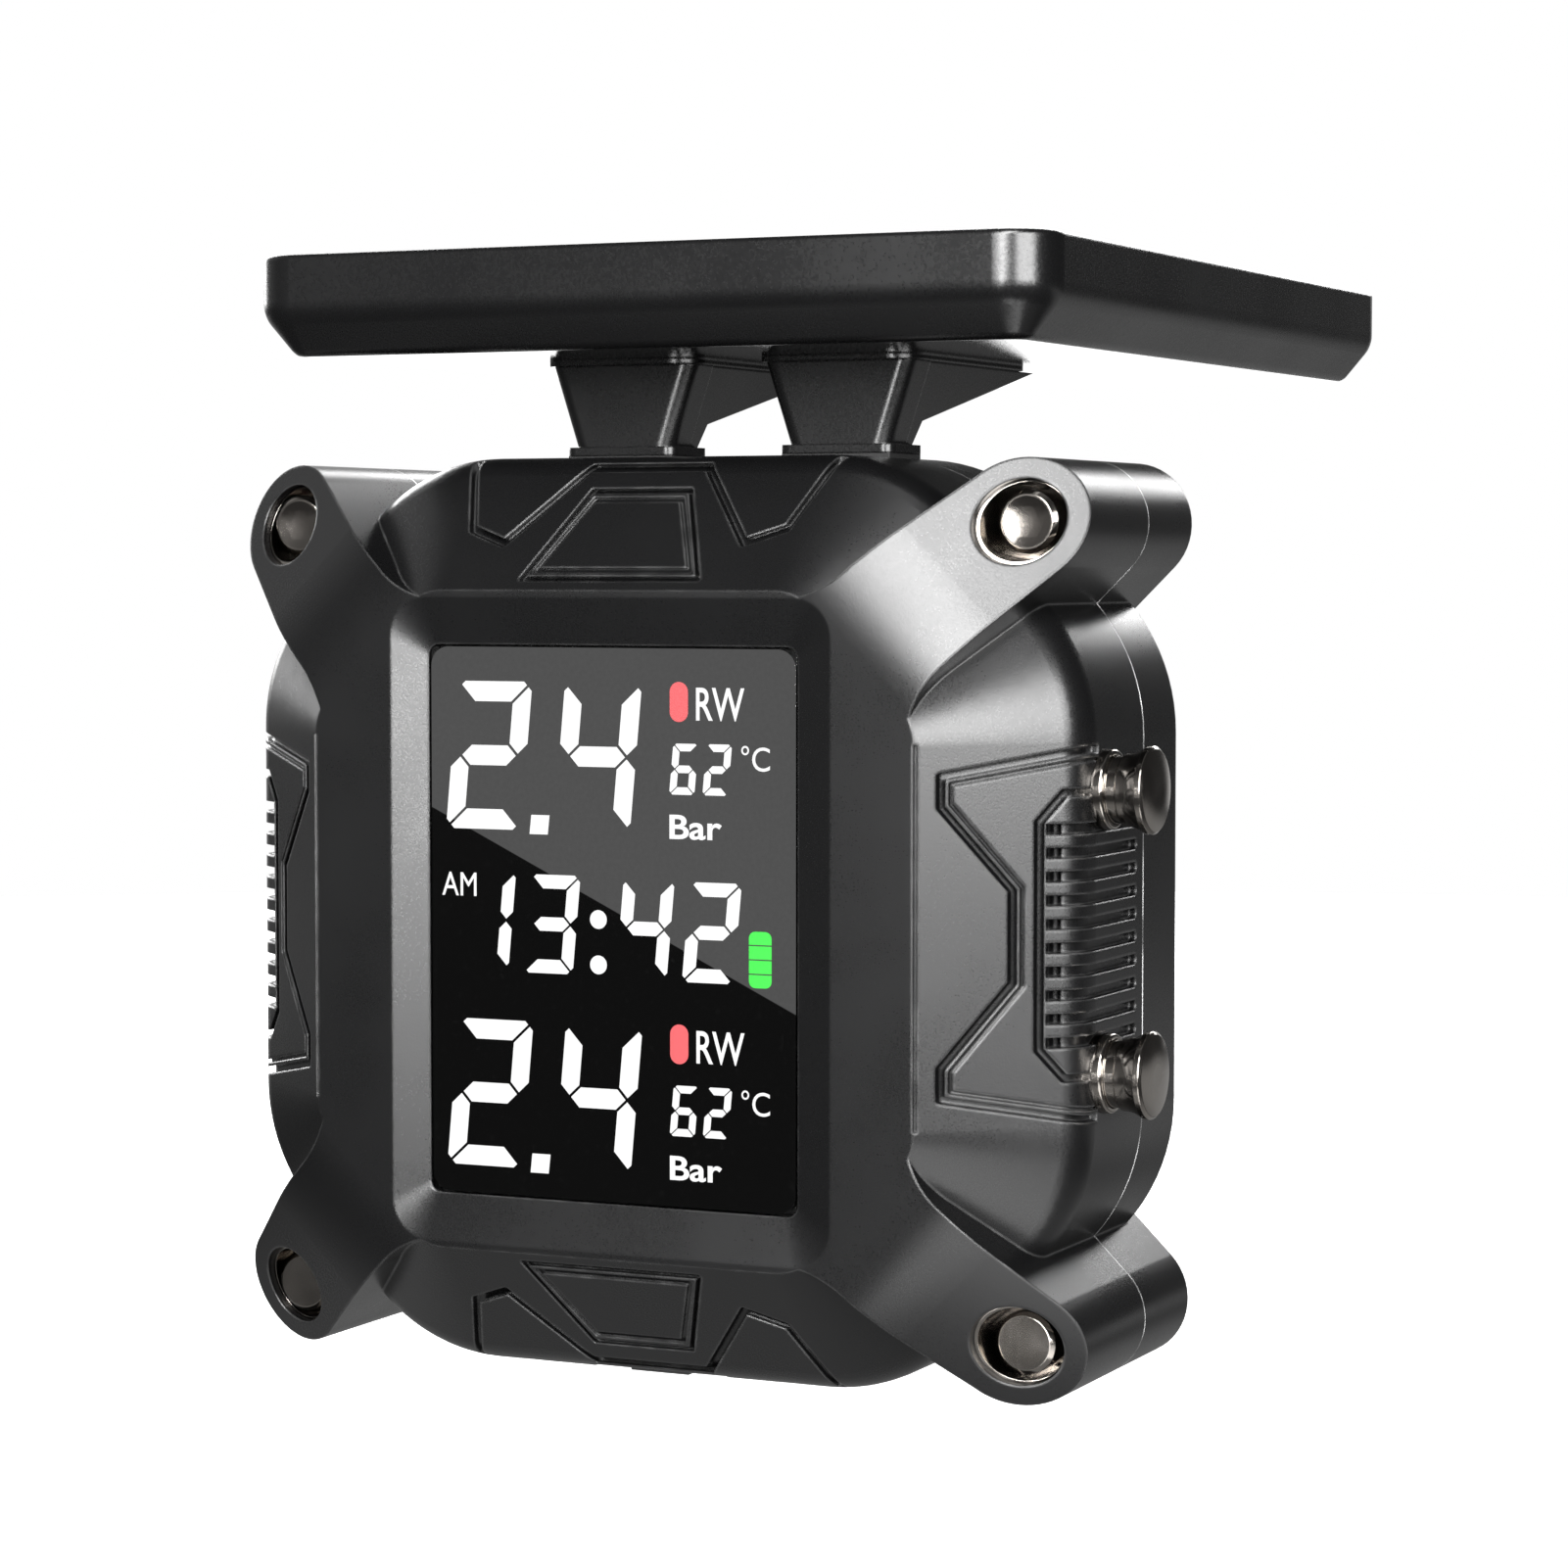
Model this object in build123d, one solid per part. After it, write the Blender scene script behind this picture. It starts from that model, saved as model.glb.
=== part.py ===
from build123d import *
import math
import os

# Tyre pressure monitor display head with a solar roof on two posts.
# Millimetres. Origin: centre of the rear mounting face. +Z up, the display looks along -Y.

# ---- casing outline -------------------------------------------------------
FRONT_Y = -26.6            # flat front face
EDGE_Y = -19.2             # sloping border panels end here
PART_Y = -8.66             # split between the two casing halves
BACK_Y = -2.2              # rear wall
BODY_HALF = 31.4           # half width and half height of the body
BODY_SUM = 49.5            # |x| + |z| on the cut corners
BODY_R = 13.3
FACE_HALF = 22.35          # half size of the flat front face
FACE_SUM = 36.4
FACE_R = 4.0
EDGE_ROUND = 3.4           # rounding from border panel to side wall
WALL = 2.0

# ---- ears -----------------------------------------------------------------
EAR_X = 27.5
EAR_Z = 26.85
EAR_R = 4.2
EAR_SLOPE = 0.608          # how fast the ear face falls back along the diagonal
EAR_HOLE_Y = -21.5         # ear face at the hole centre
EAR_BLEND_R = 14.0
EAR_HOLE_R = 2.82
EAR_STEP_Y = -12.0         # shoulder in the ear hole
EAR_PIN_R = 1.75
DISH_R = 7.0

# ---- display --------------------------------------------------------------
BEZEL_X = 16.4
BEZEL_Z = 21.9
BEZEL_DEPTH = 0.7
WIN_X = 13.8
WIN_Z = 18.7
OPEN_X = 12.9
OPEN_Z = 17.8
WIN_Y = -25.9              # outer surface of the window
WIN_T = 1.2
TAPE_T = 0.15
CAVITY_Y = -23.9           # inner face of the front wall
CAVITY_HALF = 21.9
CAVITY_SUM = 35.6
CAVITY_EDGE_Y = -17.8
LCD_X = 14.3
LCD_Z = 19.2
LCD_T = 1.8
FRAME_X = 15.4
FRAME_Z = 20.3

# ---- board ----------------------------------------------------------------
BOARD_Y = -18.9            # board face toward the display
BOARD_T = 1.2
BOARD_X = 25.8
BOARD_Z = 24.5
BOARD_SUM = 43.0
BOARD_SCREW = (19.0, 20.0)
M16_R = 0.8

# ---- buttons --------------------------------------------------------------
BUTTON_Y = -15.8
BUTTON_Z = 9.35
CAP_R = 2.9
CAP_X = 35.1
BARREL_R = 2.25
STEM_R = 1.3
FIT = 0.05                 # radial running clearance

# ---- port -----------------------------------------------------------------
PORT_Y = -16.1
PIN_Y = -11.1
PIN_Z = -30.8
PIN_R = 0.35

# ---- battery --------------------------------------------------------------
BATTERY_X = 14.8
BATTERY_Z = 18.0
BATTERY_Y0 = -11.1
BATTERY_Y1 = -6.1

# ---- solar roof -----------------------------------------------------------
POST_X = 8.4
POST_BOTTOM = 3.85
POST_TOP = 5.75
POST_FRONT_Y = -7.8
POST_STEP_Y = -4.6
POST_SCREW_Y = -6.3
POST_SCREW_X = 2.6         # from the middle of the post
TRAY_SCREW_Y = -3.4
TRAY_SCREW_X = 2.8
SCREW_R = 1.0
FOOT_Z = 31.8
POST_Z = 32.4
PAD_Z = 38.2
TRAY_Z = 38.6
TRAY_TOP = 45.55
TRAY_X = 29.9
TRAY_Y0 = -23.4
TRAY_Y1 = 50.8
TRAY_R = 3.6
TRAY_CHAMFER_H = 2.8
TRAY_CHAMFER_W = 2.3
CELL_ROWS = 6

TRAY_MID = (TRAY_Y0 + TRAY_Y1) / 2
TRAY_LEN = TRAY_Y1 - TRAY_Y0
CORNERS = [(1, 1), (-1, 1), (-1, -1), (1, -1)]


# ---- helpers --------------------------------------------------------------
def at_y(y):
    return Plane.XZ.offset(-y)


def slab(sketch, y_front, y_back):
    """Sketch drawn in X and Z, made solid between two Y positions."""
    return extrude(at_y(y_back) * sketch, y_back - y_front)


def rod_y(x, z, r, y_front, y_back):
    return slab(Pos(x, z) * Circle(r), y_front, y_back)


def rod_x(y, z, r, x0, x1):
    plane = Plane(origin=(x0, y, z), x_dir=(0, 1, 0), z_dir=(1, 0, 0))
    return extrude(plane * Circle(r), x1 - x0)


def rod_z(x, y, r, z0, z1):
    return Pos(x, y, z0) * extrude(Circle(r), z1 - z0)


def block(x0, x1, y0, y1, z0, z1):
    centre = ((x0 + x1) / 2, (y0 + y1) / 2, (z0 + z1) / 2)
    return Pos(*centre) * Box(x1 - x0, y1 - y0, z1 - z0)


def octagon(half, corner_sum, radius):
    """Square outline with 45 degree corner cuts and rounded vertices."""
    cut = corner_sum - half
    points = []
    for k in range(4):
        a = math.radians(90 * k)
        for u, v in [(half, -cut), (half, cut)]:
            points.append((u * math.cos(a) - v * math.sin(a), u * math.sin(a) + v * math.cos(a)))
    outline = make_face(Polyline(*points, close=True))
    return fillet(outline.vertices(), radius)


def rounded(half_x, half_z, radius):
    return RectangleRounded(2 * half_x, 2 * half_z, radius)


def four(solid):
    """The solid in the upper right corner and its three mirror images."""
    right = [solid, mirror(solid, Plane.XY)]
    return right + [mirror(s, Plane.YZ) for s in right]


def pair_z(solid):
    return [solid, mirror(solid, Plane.XY)]


def pair_x(solid):
    return [solid, mirror(solid, Plane.YZ)]


def stroke(points, width):
    """Line of constant width along a list of points, with round joints."""
    sketch = Sketch()
    for a, b in zip(points, points[1:]):
        length = math.hypot(b[0] - a[0], b[1] - a[1])
        angle = math.degrees(math.atan2(b[1] - a[1], b[0] - a[0]))
        middle = Pos((a[0] + b[0]) / 2, (a[1] + b[1]) / 2) * Rot(0, 0, angle)
        sketch += middle * SlotCenterToCenter(length, width)
    return sketch


def wire_along(points, radius):
    path = Spline(*points)
    profile = Plane(origin=path @ 0, z_dir=path % 0) * Circle(radius)
    return sweep(profile, path)


def save(name, solids):
    items = solids if isinstance(solids, list) else [solids]
    flat = [s for item in items for s in item.solids()]
    shape = flat[0] if len(flat) == 1 else Compound(children=flat)
    shape.label = name
    export_step(shape, "parts/" + name + ".step")


# ---- casing ---------------------------------------------------------------
def body_outline(inset):
    return octagon(BODY_HALF - inset, BODY_SUM - inset * math.sqrt(2), BODY_R - inset)


def body_block(depth):
    """Outer body, or the same body with every outer surface moved in by depth."""
    rise = math.atan2(EDGE_Y - FRONT_Y, BODY_HALF - FACE_HALF)
    front_step = depth * math.tan(rise / 2)
    rim_step = depth * math.tan((math.pi / 2 - rise) / 2)
    face = octagon(FACE_HALF - front_step, FACE_SUM - front_step * math.sqrt(2), FACE_R)
    rim_y = EDGE_Y + rim_step
    border = loft([at_y(FRONT_Y + depth) * face, at_y(rim_y) * body_outline(depth)], ruled=True)
    solid = border + slab(body_outline(depth), rim_y, BACK_Y)
    bend = [e for e in solid.edges() if abs(e.center().Y - rim_y) < 0.01]
    return fillet(bend, EDGE_ROUND - depth)


def ear_outline():
    """Upper right ear, drawn along the diagonal and turned into place."""
    reach = (EAR_X + EAR_Z) / math.sqrt(2)
    shift = (EAR_Z - EAR_X) / math.sqrt(2)
    low = Line((0, -5.5), (25.6, -5.5))
    low_flare = ThreePointArc((25.6, -5.5), (27.2, -4.85), (29.4, -4.6))
    low_side = Line((29.4, -4.6), (reach, shift - EAR_R))
    tip = ThreePointArc((reach, shift - EAR_R), (reach + EAR_R, shift), (reach, shift + EAR_R))
    high_side = Line((reach, shift + EAR_R), (29.4, 4.5))
    high_flare = ThreePointArc((29.4, 4.5), (27.2, 4.8), (25.6, 5.5))
    high = Line((25.6, 5.5), (0, 5.5))
    end = Line((0, 5.5), (0, -5.5))
    edges = [low, low_flare, low_side, tip, high_side, high_flare, high, end]
    return Rot(0, 0, 45) * make_face(Curve() + edges)


def diagonal_wedge(lift, half_width):
    """Everything behind the sloping ear face of the upper right corner."""
    reach = (EAR_X + EAR_Z) / math.sqrt(2)
    bend = reach + (FRONT_Y - EAR_HOLE_Y) / EAR_SLOPE
    tip_y = EAR_HOLE_Y + (46 - reach) * EAR_SLOPE
    points = [(0, 1), (0, FRONT_Y), (bend, FRONT_Y), (46, tip_y), (46, 1)]
    side = make_face(Polyline(*points, close=True))
    corner = side.vertices().sort_by_distance((bend, FRONT_Y, 0))[0]
    side = Pos(0, lift) * fillet(corner, EAR_BLEND_R)
    diagonal = Plane(origin=(0, 0, 0), x_dir=(1, 0, 1), z_dir=(-1, 0, 1))
    return extrude(diagonal * side, half_width, both=True)


def ear():
    return slab(ear_outline(), FRONT_Y - 1, 0) & diagonal_wedge(0, 9)


def outer_casing():
    solid = body_block(0)
    for one in four(ear()):
        solid += one
    return solid


def side_pattern():
    """Bracket-shaped lines and the vent outline on the right border, in X and Z."""
    line = [(33, 12.45), (23.7, 10.45), (23.7, 8.45), (27.45, 3.02)]
    thin = [(33, 11.8), (24.25, 9.95), (24.25, 8.65), (27.98, 3.2)]
    vent = [(33, 9.3), (30.2, 9.3), (28.85, 7.4)]
    deep = stroke(line + [(x, -z) for x, z in reversed(line)], 0.5)
    deep += stroke(vent + [(x, -z) for x, z in reversed(vent)], 0.55)
    shallow = stroke(thin + [(x, -z) for x, z in reversed(thin)], 0.25)
    return deep, shallow


def top_pattern():
    """Zigzag lines and the keystone on the upper border, in X and Z."""
    zigzag = [(14.6, 33), (11.8, 26.45), (9.0, 25.5), (4.4, 30.6)]
    keystone = [(3.7, 29.0), (6.6, 23.1), (-6.6, 23.1), (-3.7, 29.0), (3.7, 29.0)]
    inner = [(3.3, 28.4), (5.75, 23.65), (-5.75, 23.65), (-3.3, 28.4), (3.3, 28.4)]
    deep = stroke(keystone, 0.35)
    deep += stroke(zigzag + [(-x, z) for x, z in reversed(zigzag)], 0.55)
    return deep, stroke(inner, 0.35)


def border_cuts():
    pocket_skin = body_block(0) - body_block(1.15)
    deep_skin = body_block(0) - body_block(0.55)
    thin_skin = body_block(0) - body_block(0.25)
    side_deep, side_thin = side_pattern()
    top_deep, top_thin = top_pattern()
    cuts = []
    for sketch, skin in [(side_deep, deep_skin), (side_thin, thin_skin)]:
        cuts += pair_x(slab(sketch, FRONT_Y, -17.2) & skin)
    for sketch, skin in [(top_deep, deep_skin), (top_thin, thin_skin)]:
        cuts += pair_z(slab(sketch, FRONT_Y, -18.5) & skin)
    for k in range(10):
        z = 6.95 - 1.545 * k
        slot = block(29.3, 33, FRONT_Y, -9.9, z - 0.36, z + 0.36)
        slot = fillet(slot.edges().filter_by(Axis.X).group_by(Axis.Y)[-1], 0.3)
        cuts += pair_x(slot & deep_skin)
        pocket = block(29.2, 29.8, FRONT_Y, -17.2, z - 0.36, z + 0.36)
        cuts += pair_x(pocket & pocket_skin)
    cuts += pair_x(block(FACE_HALF - 0.1, FACE_HALF + 0.15, FRONT_Y - 1, FRONT_Y + 0.3, -12.5, 12.5))
    return cuts


def ear_holes(front_half):
    cuts = []
    if front_half:
        cuts += four(rod_y(EAR_X, EAR_Z, EAR_HOLE_R, FRONT_Y, EAR_STEP_Y))
        cuts += four(rod_y(EAR_X, EAR_Z, EAR_PIN_R + FIT, EAR_STEP_Y, PART_Y))
    else:
        cuts += four(rod_y(EAR_X, EAR_Z, EAR_PIN_R + FIT, PART_Y, -3.0))
        cuts += four(rod_y(EAR_X, EAR_Z, 1.05, -3.0, -1.9))
        cuts += four(rod_y(EAR_X, EAR_Z, 2.1, -1.9, 0))
    return cuts


def bezel_cut():
    top = at_y(FRONT_Y) * rounded(BEZEL_X, BEZEL_Z, 2.7)
    low = at_y(FRONT_Y + BEZEL_DEPTH) * rounded(WIN_X, WIN_Z, 0.8)
    ring = loft([top, low], ruled=True)
    pocket = slab(rounded(WIN_X, WIN_Z, 0.8), FRONT_Y + BEZEL_DEPTH, WIN_Y + WIN_T + TAPE_T)
    opening = slab(rounded(OPEN_X, OPEN_Z, 0.6), WIN_Y, CAVITY_Y)
    return ring + pocket + opening


def front_cavity():
    face = octagon(CAVITY_HALF, CAVITY_SUM, 3.5)
    nose = loft([at_y(CAVITY_Y) * face, at_y(CAVITY_EDGE_Y) * body_outline(WALL)], ruled=True)
    return nose + slab(body_outline(WALL), CAVITY_EDGE_Y, PART_Y)


def gasket_ring(grow):
    outline = body_outline(0.6 - grow) - body_outline(1.4 + grow)
    return slab(outline, PART_Y - 0.55, PART_Y)


def port_recess():
    recess = block(-7.2, 7.2, -17.9, PIN_Y + 0.8, -31.6, -30.1)
    recess += block(-5.2, 5.2, -18.9, -17.9, -31.6, -30.9)
    return recess


def front_casing():
    solid = outer_casing() & block(-40, 40, FRONT_Y, PART_Y, -40, 40)
    solid -= front_cavity()
    for x, z in CORNERS:
        solid += rod_y(x * BOARD_SCREW[0], z * BOARD_SCREW[1], 2.1, CAVITY_Y - 0.6, BOARD_Y)
    for z in (BUTTON_Z, -BUTTON_Z):
        solid += rod_x(BUTTON_Y, z, 2.85, 26.9, BODY_HALF - 0.5)
    solid -= bezel_cut()
    solid -= border_cuts()
    solid -= ear_holes(True)
    solid -= gasket_ring(0)
    for x, z in CORNERS:
        solid -= rod_y(x * BOARD_SCREW[0], z * BOARD_SCREW[1], M16_R, BOARD_Y - 3.6, BOARD_Y)
    for z in (BUTTON_Z, -BUTTON_Z):
        solid -= rod_x(BUTTON_Y, z, 2.55, 29.2, 33)
        solid -= rod_x(BUTTON_Y, z, STEM_R + FIT, 26, 30)
    solid -= port_recess()
    solid -= Pos(0, PORT_Y, -32) * extrude(SlotOverall(9.4, 3.5), 4)
    solid -= rod_x(PIN_Y, PIN_Z, PIN_R, -8.4, 8.4)
    return solid


def rear_casing():
    solid = outer_casing() & block(-40, 40, PART_Y, 1, -40, 40)
    solid -= slab(body_outline(WALL), PART_Y, -4.2)
    pad = rounded(16, 9, 3)
    solid += slab(pad, -3.0, 0)
    for x in (10, -10):
        solid += rod_y(x, 0, 4.0, -5.6, -3.0)
    for x0, x1, z0, z1 in [(-15.9, -14.9, -17, 17), (14.9, 15.9, -17, 17)]:
        solid += block(x0, x1, -8.6, -4.1, z0, z1)
    for x in (10, -10):
        solid -= rod_y(x, 0, 2.3, -4.3, 0)
        solid -= rod_y(x, 0, 1.7, -5.2, -4.3)
    solid -= ear_holes(False)
    for x in both_posts(POST_SCREW_X):
        solid -= rod_z(x, POST_SCREW_Y, SCREW_R + FIT, 29, 32)
    solid -= rod_z(POST_X, POST_SCREW_Y, SCREW_R, 29, 32)
    return solid


def casing_gasket():
    return gasket_ring(0)


def display_window():
    pane = slab(rounded(WIN_X - 0.05, WIN_Z - 0.05, 0.75), WIN_Y, WIN_Y + WIN_T)
    return chamfer(pane.faces().sort_by(Axis.Y)[0].edges(), 0.12)


def window_tape():
    ring = rounded(WIN_X - 0.1, WIN_Z - 0.1, 0.7) - rounded(OPEN_X, OPEN_Z, 0.6)
    return slab(ring, WIN_Y + WIN_T, WIN_Y + WIN_T + TAPE_T)


def ear_ferrules():
    tube = Circle(EAR_HOLE_R) - Circle(2.6)
    solid = slab(Pos(EAR_X, EAR_Z) * tube, FRONT_Y, EAR_STEP_Y)
    return four(solid & diagonal_wedge(0.8, 9))


def ear_studs():
    """Upper studs have a dished face, lower studs a flat one."""
    head = rod_y(EAR_X, EAR_Z, 2.1, -20.2, EAR_STEP_Y)
    head = chamfer(head.faces().sort_by(Axis.Y)[0].edges(), 0.3)
    flange = rod_y(EAR_X, EAR_Z, 2.48, -13.4, EAR_STEP_Y)
    barrel = rod_y(EAR_X, EAR_Z, EAR_PIN_R, EAR_STEP_Y, -3.2)
    thread = rod_y(EAR_X, EAR_Z, 1.0, -10.0, -3.2)
    flat = head + flange + barrel - thread
    dished = flat - Pos(EAR_X, -20.0 - DISH_R, EAR_Z) * Sphere(DISH_R)
    return pair_x(dished) + pair_x(mirror(flat, Plane.XY))


def ear_screws():
    head = rod_y(EAR_X, EAR_Z, 1.9, -1.9, -0.4)
    head = chamfer(head.faces().sort_by(Axis.Y)[-1].edges(), 0.25)
    shank = rod_y(EAR_X, EAR_Z, 1.0, -9.0, -1.9)
    drive = slab(Pos(EAR_X, EAR_Z) * RegularPolygon(0.85, 6), -1.3, -0.4)
    return four(head + shank - drive)


def mount_inserts():
    tube = Circle(2.3) - Circle(1.5)
    solid = slab(Pos(10, 0) * tube, -4.3, 0)
    groove = slab(Pos(10, 0) * (Circle(2.3) - Circle(2.05)), -2.5, -1.9)
    return pair_x(solid - groove)


# ---- display stack --------------------------------------------------------
def lcd_panel():
    rear_glass = slab(Rectangle(2 * LCD_X, 2 * LCD_Z), CAVITY_Y + 0.95, CAVITY_Y + 0.05 + LCD_T)
    front_glass = slab(Pos(0, 0.9) * Rectangle(2 * LCD_X, 2 * LCD_Z - 1.8), CAVITY_Y + 0.05, CAVITY_Y + 0.95)
    return rear_glass + front_glass


def lcd_frame():
    ring = rounded(FRAME_X, FRAME_Z, 1.6) - Rectangle(2 * LCD_X + 0.1, 2 * LCD_Z + 0.1)
    solid = slab(ring, CAVITY_Y + 0.05, BOARD_Y - 0.05)
    solid -= block(-6.3, 6.3, CAVITY_Y + 0.6, CAVITY_Y + 1.2, -21, -19)
    for z in (8, -8):
        solid -= block(-16, 16, -21.6, -20.0, z - 1, z + 1)
    return solid


def light_guide():
    y0 = CAVITY_Y + 0.05 + LCD_T
    solid = slab(Rectangle(2 * LCD_X - 0.2, 2 * LCD_Z - 0.2), y0, y0 + 2.4)
    for x in (-8, 0, 8):
        solid -= block(x - 1.8, x + 1.8, y0 - 1, y0 + 3, LCD_Z - 0.9, LCD_Z + 1)
    return solid


def backlight_leds():
    return [block(x - 1.5, x + 1.5, BOARD_Y - 1.4, BOARD_Y, 18.35, 19.1) for x in (-8, 0, 8)]


def lcd_ribbon():
    """Flat cable from the ledge of the display glass down and back to the board."""
    y0 = CAVITY_Y + 0.87
    path = FilletPolyline((y0, -17.5), (y0, -21.3), (BOARD_Y - 0.5, -21.3), radius=1.0)
    strip = make_face(offset(path, 0.07, side=Side.BOTH, kind=Kind.TANGENT))
    return extrude(Plane.YZ * strip, 6, both=True)


def ribbon_connector():
    solid = block(-6.8, 6.8, BOARD_Y - 2.0, BOARD_Y, -21.9, -20.7)
    return solid - block(-6.05, 6.05, BOARD_Y - 2.1, BOARD_Y - 0.35, -21.4, -21.2)


# ---- board ----------------------------------------------------------------
BACK_FACE = BOARD_Y + BOARD_T


def main_board():
    leg = BOARD_X + BOARD_Z - BOARD_SUM
    outline = Rectangle(2 * BOARD_X, 2 * BOARD_Z)
    outline = chamfer(outline.vertices(), leg)
    outline += Pos(0, -25.5) * Rectangle(14, 4)
    for x, z in CORNERS:
        outline -= Pos(x * BOARD_SCREW[0], z * BOARD_SCREW[1]) * Circle(M16_R + FIT)
    return slab(outline, BOARD_Y, BACK_FACE)


def board_screws():
    screws = []
    for x, z in CORNERS:
        cx = x * BOARD_SCREW[0]
        cz = z * BOARD_SCREW[1]
        screw = rod_y(cx, cz, 1.5, BACK_FACE, BACK_FACE + 1.0)
        screw += rod_y(cx, cz, M16_R, BOARD_Y - 3.4, BACK_FACE)
        slot = slab(Pos(cx, cz) * Rectangle(1.8, 0.35), BACK_FACE + 0.55, BACK_FACE + 1.0)
        slot += slab(Pos(cx, cz) * Rectangle(0.35, 1.8), BACK_FACE + 0.55, BACK_FACE + 1.0)
        screws.append(screw - slot)
    return screws


def board_chips():
    chips = []
    for x, z, w, h, t in [(0, 7, 7, 7, 0.9), (0, -4, 8, 6, 0.9), (9, -13, 4, 4, 1.0), (10, 3, 5, 4, 1.2)]:
        body = block(x - w / 2, x + w / 2, BACK_FACE, BACK_FACE + t, z - h / 2, z + h / 2)
        chips.append(body)
    for k in range(6):
        z = -10 + 3.0 * k
        chips.append(block(14.2, 16.2, BACK_FACE, BACK_FACE + 0.7, z - 0.6, z + 0.6))
    for k in range(4):
        x = -7.5 + 3.4 * k
        chips.append(block(x - 0.6, x + 0.6, BACK_FACE, BACK_FACE + 0.8, -14.5, -12.5))
    return chips


def rf_shield():
    can = block(-19, -7, BACK_FACE, BACK_FACE + 1.8, 6, 15)
    can = fillet(can.edges().filter_by(Axis.Y), 0.5)
    return can - block(-18.8, -7.2, BACK_FACE - 0.1, BACK_FACE + 1.6, 6.2, 14.8)


def antenna_coil():
    """Helical antenna lying along X, with one leg soldered to the board."""
    path = Helix(pitch=1.6, height=11.2, radius=2.1)
    profile = Plane(origin=path @ 0, z_dir=path % 0) * Circle(0.32)
    coil = sweep(profile, path)
    middle_y = BACK_FACE + 2.9
    coil = Pos(-15.6, middle_y, 20.5) * (Rot(0, 90, 0) * coil)
    return coil + rod_y(-15.6, 20.5 - 2.1, 0.32, BACK_FACE, middle_y)


def buzzer():
    can = rod_y(-15, -11, 4.5, BACK_FACE, BACK_FACE + 3.6)
    can = fillet(can.faces().sort_by(Axis.Y)[-1].edges(), 0.4)
    return can - rod_y(-15, -11, 0.7, BACK_FACE + 2.8, BACK_FACE + 4)


def wire_headers():
    headers = []
    for x in (POST_X, 1.5):
        shell = block(x - 2.6, x + 2.6, BACK_FACE, BACK_FACE + 3.0, 18.6, 22.4)
        headers.append(shell - block(x - 2.0, x + 2.0, BACK_FACE + 0.5, BACK_FACE + 3.1, 19.2, 21.8))
    return headers


def wire_plugs():
    plugs = []
    for x in (POST_X, 1.5):
        plugs.append(block(x - 1.95, x + 1.95, BACK_FACE + 0.6, BACK_FACE + 4.2, 19.25, 21.75))
    return plugs


def usb_socket():
    shell = Pos(0, PORT_Y, -29.2) * extrude(SlotOverall(8.94, 3.2), 7.35)
    shell -= Pos(0, PORT_Y, -29.3) * extrude(SlotOverall(8.34, 2.6), 6.6)
    return shell + block(-3.1, 3.1, PORT_Y - 0.3, PORT_Y + 0.3, -28.4, -22.6)


def battery_cell():
    cell = block(-BATTERY_X, BATTERY_X, BATTERY_Y0, BATTERY_Y1, -BATTERY_Z, BATTERY_Z - 1.6)
    cell = fillet(cell.edges().filter_by(Axis.Z), 1.2)
    return cell + block(-12, 12, BATTERY_Y0 + 1.2, BATTERY_Y1 - 1.4, BATTERY_Z - 1.6, BATTERY_Z)


def battery_foam():
    return block(-13, 13, BATTERY_Y1, BATTERY_Y1 + 0.5, -16, 16)


def lead_pair(x, start, bend):
    """Two insulated wires side by side, bent once and ending at a plug on the board."""
    leads = []
    for dx in (-0.45, 0.45):
        points = [(x + dx, *start), (x + dx, *bend), (x + dx, BACK_FACE + 4.2, 20.5)]
        path = FilletPolyline(*points, radius=1.6)
        profile = Plane(origin=path @ 0, z_dir=path % 0) * Circle(0.4)
        leads.append(sweep(profile, path))
    return leads


def battery_leads():
    return lead_pair(1.5, (BATTERY_Y0 + 2.4, BATTERY_Z), (BATTERY_Y0 + 2.4, 20.5))


def solar_leads():
    return lead_pair(POST_X, (POST_SCREW_Y, 43.0), (POST_SCREW_Y, 20.5))


# ---- buttons --------------------------------------------------------------
def button(z):
    """Push button turned about X: stem with two grooves, barrel, flared neck and domed cap."""
    stem = [(25.6, 0), (25.6, STEM_R), (26.4, STEM_R), (26.4, 0.95), (26.85, 0.95), (26.85, STEM_R)]
    seat = [(27.7, STEM_R), (27.7, 0.9), (28.5, 0.9), (28.5, STEM_R), (29.9, STEM_R)]
    barrel = [(29.9, BARREL_R), (32.8, BARREL_R), (32.9, 2.42)]
    inner = Polyline(*(stem + seat + barrel))
    neck = ThreePointArc((32.9, 2.42), (33.65, 2.52), (34.3, 2.84))
    rim = Polyline((34.3, 2.84), (34.38, CAP_R), (34.74, CAP_R), (34.92, 2.7))
    dome = ThreePointArc((34.92, 2.7), (35.05, 1.75), (CAP_X, 0.8))
    middle = Polyline((CAP_X, 0.8), (CAP_X, 0), (25.6, 0))
    profile = make_face(Curve() + [inner, neck, rim, dome, middle])
    return Pos(0, BUTTON_Y, z) * revolve(profile, Axis.X)


def button_upper():
    return button(BUTTON_Z)


def button_lower():
    return button(-BUTTON_Z)


def button_seal(z):
    ring = Torus(1.12, 0.21)
    return Pos(28.1, BUTTON_Y, z) * (Rot(0, 90, 0) * ring)


def button_clip(z):
    ring = rod_x(BUTTON_Y, z, 1.9, 26.45, 26.8) - rod_x(BUTTON_Y, z, 0.95, 26, 27)
    return ring - block(26, 27, BUTTON_Y - 0.7, BUTTON_Y + 0.7, z - 2, z)


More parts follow.
